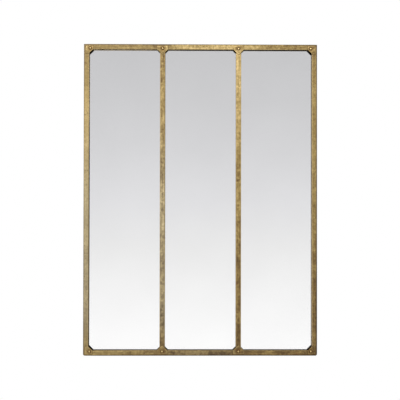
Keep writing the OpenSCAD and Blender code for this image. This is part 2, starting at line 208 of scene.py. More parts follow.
def mitred_tube(slab, name, outward, width, back, front):
    """One tube of the frame on the side that outward points to, cut out of the slab."""
    tube = copy_of(slab, name)
    along = Vector((outward.z, 0, outward.x))
    edit(tube)
    mitres = []
    for end in (1, -1):
        reach = outward + end * along
        corner = frame_middle + Vector((half_size.x * reach.x, 0, half_size.z * reach.z))
        mitres.append((corner, (outward - end * along).normalized()))
        cut(*mitres[-1])
    outer = frame_middle + Vector((half_size.x * outward.x, 0, half_size.z * outward.z))
    inner = outer - width * outward
    cut(inner, outward)
    pick("EDGE", lambda middle, part: abs((middle - inner).dot(outward)) < touching
         and min(abs(middle.y - back), abs(middle.y - front)) < touching)
    round_edges(arris_radius, arris_steps)
    for corner, normal in mitres:
        pick("EDGE", lambda middle, part: all(
            abs((v.co - corner).dot(normal)) < touching for v in part.verts
        ))
        round_edges(weld_groove, 1)
    close_edit()
    return tube


class Socket:
    """Output of a shader node, whose sums, differences, products and abs become Math nodes."""

    def __init__(self, finish, link):
        self.finish = finish
        self.link = link

    def __add__(self, other):
        return self.finish.maths("ADD", self, other)

    def __radd__(self, other):
        return self.finish.maths("ADD", other, self)

    def __sub__(self, other):
        return self.finish.maths("SUBTRACT", self, other)

    def __rsub__(self, other):
        return self.finish.maths("SUBTRACT", other, self)

    def __mul__(self, other):
        return self.finish.maths("MULTIPLY", self, other)

    def __rmul__(self, other):
        return self.finish.maths("MULTIPLY", other, self)

    def __abs__(self):
        return self.finish.maths("ABSOLUTE", self)


class Finish:
    """Node tree of one finish."""

    def __init__(self, tree):
        self.tree = tree
        tree.nodes.clear()

    def add(self, kind, settings=None, inputs=None):
        """Adds a node, sets it up, then feeds its inputs with values or sockets."""
        made = self.tree.nodes.new(kind)
        for name, value in (settings or {}).items():
            if name == "stops":
                self.set_stops(made.color_ramp, value)
            else:
                setattr(made, name, value)
        for name, value in (inputs or {}).items():
            if isinstance(value, Socket):
                self.tree.links.new(value.link, made.inputs[name])
            else:
                made.inputs[name].default_value = value
        return made

    def node(self, kind, settings=None, inputs=None, output=0):
        """Adds a node and returns one of its outputs."""
        return Socket(self, self.add(kind, settings, inputs).outputs[output])

    def set_stops(self, ramp, stops):
        """Gives a colour ramp its stops."""
        while len(ramp.elements) < len(stops):
            ramp.elements.new(1.0)
        for element, (position, colour) in zip(ramp.elements, stops):
            element.position = position
            element.color = colour

    def maths(self, operation, *values, clamp=False):
        """Math node on two or three values."""
        settings = {"operation": operation, "use_clamp": clamp}
        return self.node("ShaderNodeMath", settings, dict(enumerate(values)))

    def split(self, vector):
        """The x, y and z of a vector."""
        made = self.add("ShaderNodeSeparateXYZ", inputs={"Vector": vector})
        return [Socket(self, out) for out in made.outputs]

    def stretch(self, vector, x, y, z):
        """Point with its axes scaled, which draws a pattern out along the smallest one."""
        return self.node("ShaderNodeMapping", inputs={"Vector": vector, "Scale": (x, y, z)})

    def noise(self, vector, scale, detail=3.0, rough=0.55, warp=0.0):
        """Cloudy pattern from 0 to 1."""
        inputs = {
            "Vector": vector,
            "Scale": scale,
            "Detail": detail,
            "Roughness": rough,
            "Distortion": warp,
        }
        return self.node("ShaderNodeTexNoise", inputs=inputs)

    def spread(self, value, low, high, to_low=0.0, to_high=1.0):
        """Maps a range of a value smoothly to another range."""
        settings = {"interpolation_type": "SMOOTHSTEP"}
        inputs = {
            "Value": value, "From Min": low, "From Max": high, "To Min": to_low, "To Max": to_high
        }
        return self.node("ShaderNodeMapRange", settings, inputs)

    def mix(self, factor, colour, other, blend="MIX"):
        """Mixes two colours."""
        settings = {"data_type": "RGBA", "blend_type": blend}
        return self.node("ShaderNodeMix", settings, {0: factor, 6: colour, 7: other}, output=2)

    def bump(self, height, strength, depth):
        """Surface normal from a height pattern."""
        inputs = {"Height": height, "Strength": strength, "Distance": depth}
        return self.node("ShaderNodeBump", inputs=inputs)

    def surface(self, **inputs):
        """Closes the finish with its Principled shader; base_color names its Base Color socket."""
        named = {}
        for name, value in inputs.items():
            named[name.replace("_", " ").title().replace("Ior", "IOR")] = value
        shader = self.node("ShaderNodeBsdfPrincipled", inputs=named)
        self.add("ShaderNodeOutputMaterial", inputs={"Surface": shader})


def new_finish(name):
    """A new material, the node tree to build it in, and the point of the surface."""
    material = bpy.data.materials.new(name)
    material.use_nodes = True
    f = Finish(material.node_tree)
    return material, f, f.node("ShaderNodeTexCoord", output="Object")


def paint(red, green, blue):
    """Colour from the 0 to 255 values of a colour card."""
    def linear(value):
        share = value / 255
        return share / 12.92 if share <= 0.04045 else ((share + 0.055) / 1.055) ** 2.4
    return linear(red), linear(green), linear(blue), 1.0


def give(piece, *materials):
    """Puts materials into a new piece's slots."""
    for material in materials:
        piece.data.materials.append(material)


def refinish(node, material):
    """Gives a CAD solid a better material in the slots that it has."""
    for slot in frame["nodes"][node].material_slots:
        slot.material = material


# Colour of the painted highlights on the arrises, the plates' outlines and the rivets' crowns.
highlight_gold = paint(210, 182, 124)
ochre = paint(134, 98, 46)
# Dark wax colour, for the wax in the rivet dishes and for painted shadow round the plates and at
# the rivets' feet.
dark_wax_and_shadow = paint(76, 50, 12)
# Tint of the painted shade along the outer edge of the frame and the plates.
edge_shade_tint = paint(150, 132, 108)
# Soot colour, for real soot specks and for painted shade at the outer edge, in the recess and
# behind the plates.
soot_and_shade = paint(58, 46, 31)
rust = paint(120, 62, 40)
brass_stops = [
    (0.00, paint(240, 211, 147)),
    (0.25, paint(203, 176, 118)),
    (0.50, paint(162, 139, 86)),
    (0.75, paint(131, 106, 62)),
    (1.00, paint(94, 72, 41)),
]
# Greyer brass, for the painted sheen on the left side and a greyer patch in the middle of the foot.
greying_and_sheen_stops = [
    (0.00, paint(230, 213, 172)),
    (0.25, paint(193, 176, 135)),
    (0.50, paint(154, 139, 109)),
    (0.75, paint(119, 105, 81)),
    (1.00, paint(84, 73, 56)),
]
corner_low, corner_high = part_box("bottom_left_corner_plate")
tee_low, tee_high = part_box("bottom_left_tee_plate")
plate_inset = corner_low.x - frame_left
corner_reach = corner_high.x - frame_left
tee_half = (tee_high.x - tee_low.x) / 2
tee_reach = tee_high.z - frame_bottom
mullion_middle = -(tee_low.x + tee_high.x) / 2
slant = 0.7071
middle_depth = 0.43
# Place and shape of the painted highlight patch high on the frame.
highlight_x = 0.08
highlight_rise = 0.03
highlight_squash = 0.65
uneven_middle = 1.3
calm_share = 0.55
rim_width = 0.0050


def patina_and_painted_light(f, x, z):
    """How dark the frame's tone is from place to place, from 0 for pale to 1 for dark: patina, with
    painted shade at the top, on the right and at the foot, a painted highlight patch high in the
    middle and a painted sheen on the left side.
    """
    # Painted shade: darker towards the foot, to the right and at the top.
    lower = f.spread(z, -0.35, -1.15)
    right = f.spread(x, -0.20, 0.15)
    upper = f.spread(z, -0.26, -0.02)
    depth = middle_depth + 0.09 * right
    depth = depth + upper * (0.18 - 0.08 * right) + lower * (0.14 + 0.12 * right)
    # Painted highlight: a pale patch high in the middle of the frame.
    across = x - highlight_x
    up = highlight_squash * z + highlight_rise
    highlight_patch = f.spread(f.maths("SQRT", across * across + up * up), 0.26, 0.05)
    # Painted sheen: paler on the left side.
    sheen_side = f.spread(x, -0.15, -0.42) * f.spread(z, -0.10, -0.30) * f.spread(z, -1.15, -0.95)
    # The left mullion is a little darker high up, paler lower down and darker again at its foot.
    left_bar = f.spread(abs(x + mullion_middle), 0.10, 0.04)
    pale_band = f.spread(z, -0.50, -0.62)
    dark_foot = f.spread(z, -0.92, -1.05)
    left_mullion_tone = left_bar * (0.05 - 0.15 * pale_band + 0.17 * dark_foot)
    return depth - 0.45 * highlight_patch - 0.17 * sheen_side + left_mullion_tone


def patina(f, place, streaks, contrast=1.0, lift=0.0):
    """Colour, browning and height of the patina, with painted shade, highlight and sheen mixed in;
    streaks are the axis scales along the bar.
    """
    x, y, z = f.split(place)
    clouds = f.noise(place, 16.0, 2.0)
    blotches = f.noise(place, 96.0, 4.0, 0.62, 0.3)
    grain = f.noise(place, 420.0, 3.0, 0.6)
    strokes = f.noise(f.stretch(place, *streaks), 1.0, 3.0, 0.6)
    uneven = blotches + 0.8 * strokes + 0.3 * grain + 0.5 * clouds - uneven_middle
    calm = f.spread(x, -0.10, -0.42, contrast, contrast * calm_share)
    # The browning level carries the patina together with its painted shade, highlight and sheen.
    browning_and_shade = f.maths("ADD", patina_and_painted_light(f, x, z) - lift, uneven * calm, clamp=True)
    # Painted sheen: low on the left side the brass turns greyer and paler; the middle of the foot
    # greys a little.
    grey_side = f.spread(x, 0.10, -0.20) * f.spread(z, -0.22, -0.68, 0.15, 1.0)
    grey_side = grey_side * f.spread(z, -1.24, -1.00)
    grey_foot = f.spread(z, -1.15, -1.17) * f.spread(abs(x), 0.18, 0.08)
    greying_and_sheen = f.maths("MAXIMUM", grey_side, 0.4 * grey_foot)
    brass = f.node("ShaderNodeValToRGB", {"stops": brass_stops}, {"Fac": browning_and_shade})
    grey_brass = f.node("ShaderNodeValToRGB", {"stops": greying_and_sheen_stops}, {"Fac": browning_and_shade})
    colour = f.mix(greying_and_sheen, brass, grey_brass)
    speckled = f.spread(f.noise(place, 11.0, 2.0), 0.46, 0.60)
    specks = f.spread(f.noise(place, 210.0, 2.0, 0.5), 0.58, 0.66) * speckled
    colour = f.mix(specks * 0.6, colour, soot_and_shade)
    flecks = f.spread(f.noise(place, 52.0, 3.0, 0.6), 0.68, 0.76)
    colour = f.mix(flecks * 0.5, colour, rust)
    height = 0.5 * blotches + 0.35 * grain + 0.25 * strokes
    return colour, browning_and_shade, height


def with_browning(f, browning_and_shade, pale, brown):
    """Level that goes from its value on pale brass to its value on brown."""
    return f.spread(browning_and_shade, 0.1, 0.9, pale, brown)


def insets(x, z):
    """How far in a point lies from the frame's sides and from its top and foot."""
    return half_size.x - abs(x), half_size.z - abs(z - frame_middle.z)


def rim_distance(f, x, z):
    """Distance from the frame's outline, which turns round the corners."""
    side, end = insets(x, z)
    out_x = f.maths("MAXIMUM", low_corner_radius - side, 0.0)
    out_z = f.maths("MAXIMUM", low_corner_radius - end, 0.0)
    return low_corner_radius - f.maths("SQRT", out_x * out_x + out_z * out_z)


def rim_shade(f, x, z, width=rim_width):
    """How much painted shade darkens the outer edge of the frame, most at the foot and low on the
    right.
    """
    left_end = f.spread(x, -0.38, -0.43)
    right_end = f.spread(x, 0.38, 0.43)
    low_end = f.spread(z, -1.15, -1.18)
    low_right = right_end * f.spread(z, -0.60, -0.90)
    reach = width + 0.0015 * low_end + 0.0030 * low_right
    strength = 0.75 - 0.25 * left_end + 0.25 * right_end + 0.25 * low_end
    return f.spread(rim_distance(f, x, z), reach, 0.0010) * strength


def plate_depth(f, x, z):
    """How far a point lies inside the outline of a gusset plate, below 0 outside."""
    side, end = insets(x, z)
    aside = abs(abs(x) - mullion_middle)
    tee = f.maths("MINIMUM", tee_half - aside, (tee_reach - aside - end) * slant)
    corner = f.maths("MINIMUM", corner_reach - f.maths("MAXIMUM", side, end), side - plate_inset)
    corner = f.maths("MINIMUM", corner, (corner_reach + face_width - side - end) * slant)
    return f.maths("MINIMUM", f.maths("MAXIMUM", tee, corner), end - plate_inset)


def bar_finish(name, streaks, wall_distance, contrast=1.0, lift=0.0):
    """Patina on a bar, with painted shade at the rim and down the recess's walls, painted shadow
    round the plates and a painted highlight on the inner arris.
    """
    material, f, place = new_finish(name)
    x, y, z = f.split(place)
    deep = y - face_front
    colour, browning_and_shade, height = patina(f, place, streaks, contrast, lift)
    on_front = f.spread(deep, 0.0035, 0.0010)
    # Painted shade along the outer edge.
    colour = f.mix(rim_shade(f, x, z) * on_front, colour, edge_shade_tint, "MULTIPLY")
    # Painted shade: a dark line right at the outer edge, lighter on the left.
    brink_shade = f.spread(rim_distance(f, x, z), 0.0016, 0.0004) * on_front
    colour = f.mix(brink_shade * (0.8 - 0.2 * f.spread(x, -0.38, -0.43)), colour, soot_and_shade)
    # Painted shadow: a dark line on the bar round each plate's outline.
    plate_shadow = f.spread(plate_depth(f, x, z), -0.0018, -0.0002) * on_front
    colour = f.mix(plate_shadow * 0.75, colour, dark_wax_and_shadow)
    wall = wall_distance(f, x, z)
    # Painted highlight along the inner arris of the face.
    arris = f.spread(wall, 0.0022, 0.0010) * f.spread(deep, 0.0016, 0.0010)
    colour = f.mix(arris * 0.65, colour, highlight_gold)
    # Painted shade down the recess's walls, left off the walls that face left and off the upper
    # left, which are painted as lit.
    inside = f.spread(wall, 0.0009, 0.0002) * f.spread(deep, 0.0012, 0.0024)
    facing = f.split(f.node("ShaderNodeTexCoord", output="Normal"))[0]
    lit_wall = inside * f.spread(facing, -0.2, -0.8)
    lit_corner = f.spread(x, -0.05, -0.20) * f.spread(z, -0.45, -0.20)
    recess = (inside - lit_wall) * (0.95 - 0.85 * lit_corner)
    colour = f.mix(recess, colour, soot_and_shade)
    metal = with_browning(f, browning_and_shade, 0.84, 0.55)
    dullness = with_browning(f, browning_and_shade, 0.36, 0.54)
    f.surface(
        base_color=colour,
        metallic=metal - recess * 0.9 - brink_shade * 0.7 + lit_wall * 0.2,
        roughness=dullness + recess * 0.6 + brink_shade * 0.4 - lit_wall * 0.24,
        normal=f.bump(height, 0.35, 0.0004),
    )
    return material


def tube_wall_distance(f, x, z):
    """Distance from the inner walls of the front tubes."""
    return abs(f.maths("MINIMUM", *insets(x, z)) - face_width)


upright_streaks = (330.0, 330.0, 9.0)
level_streaks = (9.0, 330.0, 330.0)
upright_brass = bar_finish("aged_brass_upright", upright_streaks, tube_wall_distance)
level_brass = bar_finish("aged_brass_level", level_streaks, tube_wall_distance, 1.35)

sides = {
    "left": Vector((-1, 0, 0)),
    "right": Vector((1, 0, 0)),
    "top": Vector((0, 0, 1)),
    "bottom": Vector((0, 0, -1)),
}
front_slab = frame_slab("front_slab", face_back, face_front)
for side, outward in sides.items():
    upright = abs(outward.x) > 0.5
    node = f"{side}_stile" if upright else f"{side}_rail"
    tube = mitred_tube(front_slab, f"{node}_tube", outward, face_width, face_back, face_front)
    give(tube, upright_brass if upright else level_brass)
    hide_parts(node)
    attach(tube, "frame")
bpy.data.objects.remove(front_slab)

# Rebate tubes: four narrower tubes of the same stock, mitred and welded behind the front tubes, so
# that the glass and the board lie in the step between the two. They have the same patina.
rebate_low, rebate_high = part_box("left_rebate_tube")
rebate_width = rebate_high.x - rebate_low.x
rebate_slab = frame_slab("rebate_slab", rebate_high.y, rebate_low.y)
for side, outward in sides.items():
    node = f"{side}_rebate_tube"
    tube = mitred_tube(
        rebate_slab, f"{side}_rear_tube", outward, rebate_width, rebate_high.y, rebate_low.y
    )
    give(tube, upright_brass if abs(outward.x) > 0.5 else level_brass)
    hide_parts(node)
    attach(tube, "frame")
bpy.data.objects.remove(rebate_slab)

# Mullions: two flat tubes that stand between the rails, flush with them and welded at both ends,
# with the same patina as the frame.
mullion_low, mullion_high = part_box("left_mullion")
mullion_half = (mullion_high.x - mullion_low.x) / 2
long_edge = 0.5


def mullion_edge_distance(f, x, z):
    """Distance from the nearest edge of a mullion."""
    return mullion_half - abs(abs(x) - mullion_middle)


mullion_brass = bar_finish(
    "aged_brass_mullion", upright_streaks, mullion_edge_distance, 1.4, -0.035
)
for side in ("left", "right"):
    low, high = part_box(f"{side}_mullion")
    bar = block_blank(f"{side}_mullion_tube", low, high)
    edit(bar)
    pick("EDGE", lambda middle, part: part.calc_length() > long_edge)
    round_edges(arris_radius, arris_steps)
    close_edit()
    give(bar, mullion_brass)
    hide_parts(f"{side}_mullion")
    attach(bar, "frame")

# Divider strips: flat steel strips welded to the backs of the mullions. They part the panes and
# hardly show, so the solids stay and take the frame's patina.
for side in ("left", "right"):
    refinish(f"{side}_divider_strip", upright_brass)

# Gusset plates: stamped sheet brass, riveted over every joint of the frame, with a shallow dish
# round each rivet that holds dark wax. Corner plates are cut at 45 degrees and tee plates run to a
# point, and their outlines carry a painted highlight.
plate_back = corner_high.y
plate_front = corner_low.y
corner_cut = corner_high.x - frame_left - face_width
corner_rivet_inset = 0.0245
rivet_inset = 0.0165
dish_radius = 0.0082
seat_radius = 0.0047
hole_radius = 0.0017
dish_depth = 0.0004
dish_steps = 40
rim_slack = 2e-4
plate_arris = 0.0006
point_gap = 1e-4
sharp_angle = 1
plate_rim_width = 0.0085
plate_streaks = (60.0, 60.0, 60.0)


def add_circle(radius, steps, middle=(0, 0, 0)):
    """Adds a circle that faces the front, to the open piece or on its own."""
    bpy.ops.mesh.primitive_circle_add(
        vertices=steps, radius=radius, location=middle, rotation=(pi / 2, 0, 0)
    )


def fill_outline():
    """Fills the outlines of the open piece and leaves their holes open."""
    pick_all()
    bpy.ops.mesh.fill()


def dished_plate(plate, rivet_x, rivet_z):
    """Turns a flat outline into a plate with rounded front edges and a dish round its rivet."""
    rivet = Vector((rivet_x, plate_front, rivet_z))
    edit(plate)
    pick_all()
    bpy.ops.mesh.delete(type="ONLY_FACE")
    add_circle(dish_radius, dish_steps, rivet)
    fill_outline()
    pick("EDGE", lambda middle, part: all(
        abs((v.co - rivet).length - dish_radius) < rim_slack for v in part.verts
    ))
    extrude(y=dish_depth)
    ratio = seat_radius / dish_radius
    bpy.ops.transform.resize(value=(ratio, 1, ratio), center_override=rivet)
    extrude()
    ratio = hole_radius / seat_radius
    bpy.ops.transform.resize(value=(ratio, 1, ratio), center_override=rivet)
    pick("FACE")
    extrude(y=plate_back - plate_front)
    bpy.ops.transform.resize(value=(1, 0, 1), center_override=(rivet_x, plate_back, rivet_z))
    pick_all()
    bpy.ops.mesh.normals_make_consistent(inside=False)
    pick("EDGE", lambda middle, part: all(abs(v.co.y - plate_front) < touching for v in part.verts)
         and (middle - rivet).length > dish_radius + touching and len(part.link_faces) == 2
         and part.calc_face_angle() > sharp_angle)
    round_edges(plate_arris)
    close_edit()


def mirrored(piece, name, flip_x, flip_z):
    """Copy of a piece, turned over to the right half or to the upper half of the mirror."""
    twin = copy_of(piece, name)
    twin.scale = (-1 if flip_x else 1, 1, -1 if flip_z else 1)
    twin.location.z = 2 * frame_middle.z if flip_z else 0
    twin.select_set(True)
    bpy.context.view_layer.objects.active = twin
    bpy.ops.object.transform_apply(location=True, rotation=True, scale=True)
    edit(twin)
    close_edit()
    return twin


corner_plate = flat_blank(
    "corner_gusset_master",
    (corner_low.x, corner_low.z),
    (corner_high.x, corner_high.z),
    plate_front,
)
edit(corner_plate)
pick("VERT", lambda middle, part: (
    middle.x > corner_high.x - touching and middle.z > corner_high.z - touching
))
bpy.ops.mesh.bevel(offset=corner_cut, segments=1, affect="VERTICES", clamp_overlap=False)
bpy.ops.object.mode_set(mode="OBJECT")
dished_plate(corner_plate, frame_left + corner_rivet_inset, frame_bottom + rivet_inset)

tee_plate = flat_blank(
    "tee_gusset_master", (tee_low.x, tee_low.z), (tee_high.x, tee_high.z), plate_front
)
edit(tee_plate)
pick("VERT", lambda middle, part: middle.z > tee_high.z - touching)
bpy.ops.mesh.bevel(offset=tee_half, segments=1, affect="VERTICES", clamp_overlap=False)
pick_all()
bpy.ops.mesh.remove_doubles(threshold=point_gap)
bpy.ops.object.mode_set(mode="OBJECT")
dished_plate(tee_plate, -mullion_middle, frame_bottom + rivet_inset)


def gusset_finish():
    """Patina of the plates: brown round the rivet, waxed dish, painted highlight along the outline
    and painted shade at the rim and on the back.
    """
    material, f, place = new_finish("aged_brass_plate")
    x, y, z = f.split(place)
    deep = y - plate_front
    # The top right tee plate is kept darker, clear of the painted highlight patch.
    top_right_tee_darker = f.spread(x, 0.05, 0.12) * f.spread(x, 0.35, 0.20) * f.spread(z, -0.023, -0.008)
    colour, browning_and_shade, height = patina(f, place, plate_streaks, 1.4, 0.10 - 0.5 * top_right_tee_darker)
    side, end = insets(x, z)
    to_tee = abs(abs(x) - mullion_middle)
    along = f.maths("MINIMUM", to_tee, abs(side - corner_rivet_inset))
    up = end - rivet_inset
    grime = f.spread(f.maths("SQRT", along * along + up * up), 0.0140, 0.0075)
    colour = f.mix(grime * 0.5, colour, ochre)
    # Painted highlight along the plate's outline.
    edge_highlight = f.spread(plate_depth(f, x, z), 0.0028, 0.0008)
    colour = f.mix(edge_highlight * 0.5, colour, highlight_gold)
    # Painted shade along the frame's outer edge.
    colour = f.mix(rim_shade(f, x, z, plate_rim_width) * 0.9, colour, edge_shade_tint, "MULTIPLY")
    hollow = f.spread(deep, 0.00005, 0.0003)
    colour = f.mix(hollow * 0.95, colour, dark_wax_and_shadow)
    # Painted shade on the plate's back.
    back = f.spread(y - plate_back, -0.0006, -0.0001)
    colour = f.mix(back * 0.9, colour, soot_and_shade)
    f.surface(
        base_color=colour,
        metallic=with_browning(f, browning_and_shade, 0.82, 0.55) - back * 0.4 - hollow * 0.3,
        roughness=with_browning(f, browning_and_shade, 0.40, 0.56) + hollow * 0.15,
        normal=f.bump(height, 0.3, 0.0004),
    )
    return material


plate_brass = gusset_finish()
for row in ("bottom", "top"):
    for side in ("left", "right"):
        flips = (side == "right", row == "top")
        for master, node in ((corner_plate, "corner_plate"), (tee_plate, "tee_plate")):
            kind = node.replace("_plate", "_gusset")
            plate = mirrored(master, f"{row}_{side}_{kind}", *flips)
            give(plate, plate_brass)
            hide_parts(f"{row}_{side}_{node}")
            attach(plate, "frame")
bpy.data.objects.remove(corner_plate)
bpy.data.objects.remove(tee_plate)

# Rivets: solid brass rivets with domed heads, one through each gusset plate and closed inside the
# tube. Their heads carry a painted highlight on top and painted shade round the foot.
head_low, head_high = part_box("corner_rivets")
head_radius = 0.0045
shank_radius = 0.0016
tail_radius = 0.0022
tail_height = 0.0016
head_height = plate_front - head_low.y
rivet_streaks = (90.0, 90.0, 90.0)
dome_steps = 32
dome_rings = 40
rivet_grip = head_high.y - plate_front - tail_height


def domed_head(name, radius, height, back):
    """Round cap of a rivet or screw on the Y axis, which bulges to the front from back."""
    ball = (radius**2 + height**2) / (2 * height)
    deselect()
    bpy.ops.mesh.primitive_uv_sphere_add(
        segments=dome_steps,
        ring_count=dome_rings,
        radius=ball,
        location=(0, back - height + ball, 0),
        rotation=(pi / 2, 0, 0),
    )
    cap = new_piece(name)
    edit(cap)
    cut((0, back, 0), (0, -1, 0))
    return cap


def draw_in(radius, target):
    """Draws the selected cap in or out to another radius."""
    ratio = target / radius
    extrude()
    bpy.ops.transform.resize(value=(ratio, 1, ratio), center_override=(0, 0, 0))


rivet = domed_head("rivet_master", head_radius, head_height, plate_front)
pick("FACE", lambda middle, part: abs(middle.y - plate_front) < touching)
extrude(y=dish_depth)
draw_in(head_radius, shank_radius)
extrude(y=rivet_grip - dish_depth)
draw_in(shank_radius, tail_radius)
extrude(y=tail_height)
close_edit()


def rivet_finish():
    """Aged brass, with a painted highlight on top of the dome and painted shade at its foot."""
    material, f, place = new_finish("aged_brass_rivet")
    rise = (plate_front - f.split(place)[1]) * (1 / head_height)
    colour, browning_and_shade, height = patina(f, place, rivet_streaks, 1.2, 0.12)
    # Painted highlight on top of the dome.
    crown_highlight = f.spread(rise, 0.50, 0.85)
    colour = f.mix(crown_highlight * 0.9, colour, highlight_gold)
    # Painted shade round the foot of the dome.
    foot = f.spread(rise, 0.60, 0.15)
    colour = f.mix(foot * 0.85, colour, dark_wax_and_shadow)
    f.surface(
        base_color=colour,
        metallic=0.85 - foot * 0.3,
        roughness=with_browning(f, browning_and_shade, 0.27, 0.42) + foot * 0.2,
        normal=f.bump(height, 0.3, 0.0003),
    )
    return material


rivet_brass = rivet_finish()
for row, z in (("bottom", frame_bottom + rivet_inset), ("top", frame_top - rivet_inset)):
    for kind, spread in (("corner", half_size.x - corner_rivet_inset), ("tee", mullion_middle)):
        for side, x in (("left", -spread), ("right", spread)):
            twin = copy_of(rivet, f"{row}_{side}_{kind}_rivet")
            twin.data.transform(Matrix.Translation((x, 0, z)))
            give(twin, rivet_brass)
            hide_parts(f"{kind}_rivets")
            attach(twin, "frame")
bpy.data.objects.remove(rivet)

# Mirror panes: three sheets of 4 mm float glass with their edges arrised, silvered on the back. The
# silver coat is covered by a grey paint, which is all that shows of it from behind.
glass_arris = 0.0005
coat_thickness = 0.0001
coat_gap = 0.00005
coat_border = 0.002


def glass_finish():
    """Clear float glass, very slightly uneven."""
    material, f, place = new_finish("float_glass")
    cast = f.spread(f.noise(place, 3.0, 1.0), 0.3, 0.7)
    colour = f.mix(cast, paint(254, 254, 254), paint(255, 255, 255))
    f.surface(base_color=colour, roughness=0.0, ior=1.5, transmission_weight=1.0)
    return material


def silver_finish():
    """Silver coat seen through the glass, flawless but for the slightest cloud."""
    material, f, place = new_finish("mirror_silver")
    cloud = f.spread(f.noise(place, 6.0, 2.0), 0.3, 0.7)
    colour = f.mix(cloud, paint(253, 253, 253), paint(254, 254, 254))
    f.surface(base_color=colour, metallic=1.0, roughness=0.0)
    return material


def back_paint_finish():
    """Grey back paint of a mirror, rolled on a little unevenly."""
    material, f, place = new_finish("mirror_back_paint")
    lap = f.noise(f.stretch(place, 60.0, 60.0, 4.0), 1.0, 2.0)
    colour = f.mix(lap, paint(112, 116, 120), paint(128, 131, 133))
    f.surface(base_color=colour, roughness=0.6, normal=f.bump(lap, 0.2, 0.0002))
    return material


clear_glass = glass_finish()
silver = silver_finish()
back_paint = back_paint_finish()
pane_layers = bpy.data.collections.new("pane_layers")
for side in ("left", "centre", "right"):
    node = f"{side}_mirror_pane"
    low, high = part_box(node)
    silver_front = high.y - coat_thickness
    pane = block_blank(f"{side}_pane_glass", low, (high.x, silver_front - coat_gap, high.z))
    edit(pane)
    pick("EDGE")
    round_edges(glass_arris, 1)
    close_edit(10)
    give(pane, clear_glass)
    coat = block_blank(
        f"{side}_pane_silvering", (low.x + glass_arris, silver_front, low.z + glass_arris),
        (high.x - glass_arris, high.y, high.z - glass_arris)
    )
    edit(coat)
    pick("FACE", lambda middle, part: part.normal.y > 0.5)
    bpy.ops.mesh.inset(thickness=coat_border, depth=0)
    close_edit(10)
    give(coat, silver, back_paint)
    for face in coat.data.polygons:
        face.material_index = 0 if face.normal.y < -0.5 else 1
    for piece in (pane, coat):
        pane_layers.objects.link(piece)
        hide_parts(node)
        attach(piece, "frame")

# Glazing tape: strips of black closed-cell foam between the frame and the front of each pane. Only
# its edge shows, deep in the recess, so the solids stay and take a foam finish.


def foam_finish():
    """Black closed-cell foam with an open, pitted skin."""
    material, f, place = new_finish("black_foam")
    cells = f.node("ShaderNodeTexVoronoi", inputs={"Vector": place, "Scale": 1400.0})
    colour = f.mix(f.spread(cells, 0.1, 0.6), paint(14, 14, 14), paint(34, 34, 35))
    f.surface(base_color=colour, roughness=0.85, normal=f.bump(cells, 0.5, 0.0002))
    return material


black_foam = foam_finish()
for side in ("left", "centre", "right"):
    refinish(f"{side}_glazing_tape", black_foam)

# Setting blocks: grey plastic blocks that carry the bottom edges of the panes. They are hidden by
# the bottom rail, so the solids stay and take a moulded plastic finish.


def block_finish():
    """Grey moulded plastic with a faint texture."""
    material, f, place = new_finish("grey_plastic")
    pores = f.noise(place, 900.0, 2.0)
    colour = f.mix(pores, paint(78, 79, 81), paint(94, 95, 97))
    f.surface(base_color=colour, roughness=0.55, normal=f.bump(pores, 0.3, 0.0001))
    return material


refinish("setting_blocks", block_finish())

# Backing board: one sheet of bare medium-density fibreboard behind the panes, sawn to size, with
# its edges just broken by sandpaper.
board_low, board_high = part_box("backing_board")
board_arris = 0.0004


def fibreboard_finish():
    """Brown fibreboard: fine felted fibres, darker flecks and a few rubbed marks."""
    material, f, place = new_finish("fibreboard")
    felt = f.noise(place, 520.0, 4.0, 0.65)
    fibres = f.noise(f.stretch(place, 900.0, 300.0, 120.0), 1.0, 3.0, 0.6, 0.8)
    clouds = f.noise(place, 5.0, 3.0)
    flecks = f.spread(f.noise(place, 260.0, 2.0), 0.66, 0.74)
    pale = f.spread(0.5 * felt + 0.5 * fibres, 0.38, 0.62)
    colour = f.mix(pale, paint(128, 98, 70), paint(164, 132, 98))
    colour = f.mix(f.spread(clouds, 0.35, 0.7) * 0.35, colour, paint(146, 108, 74))
    colour = f.mix(flecks * 0.5, colour, paint(84, 60, 42))
    height = 0.6 * felt + 0.4 * fibres
    f.surface(base_color=colour, roughness=0.82, normal=f.bump(height, 0.35, 0.0002))
    return material


board = block_blank("backing_board_panel", board_low, board_high)
edit(board)
pick("EDGE")
round_edges(board_arris)
close_edit()
give(board, fibreboard_finish())
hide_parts("backing_board")
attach(board, "frame")

# Turn buttons: keyhole-shaped zinc-plated steel stampings that turn on their screws and lap over
# the edge of the board. Each one rides on its own body.
button_low, button_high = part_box("left_upper_button")
button_head_radius = 0.006
button_half_width = 0.0045
button_reach = button_high.x - button_low.x - button_head_radius
button_hole_radius = 0.00206
button_arris = 0.00025
head_steps = 48
round_end_steps = 20
screw_hole_steps = 32
pivots = {joint["child"]: Vector(joint["pos_m"]) for joint in frame["joints"]}
button_pivots = {node: pivot for node, pivot in pivots.items() if node.endswith("_button")}


def score(point, across):
    """Cuts a line through the faces of the open piece and keeps both sides."""
    pick_all()
    bpy.ops.mesh.bisect(plane_co=point, plane_no=across, threshold=cut_accuracy)


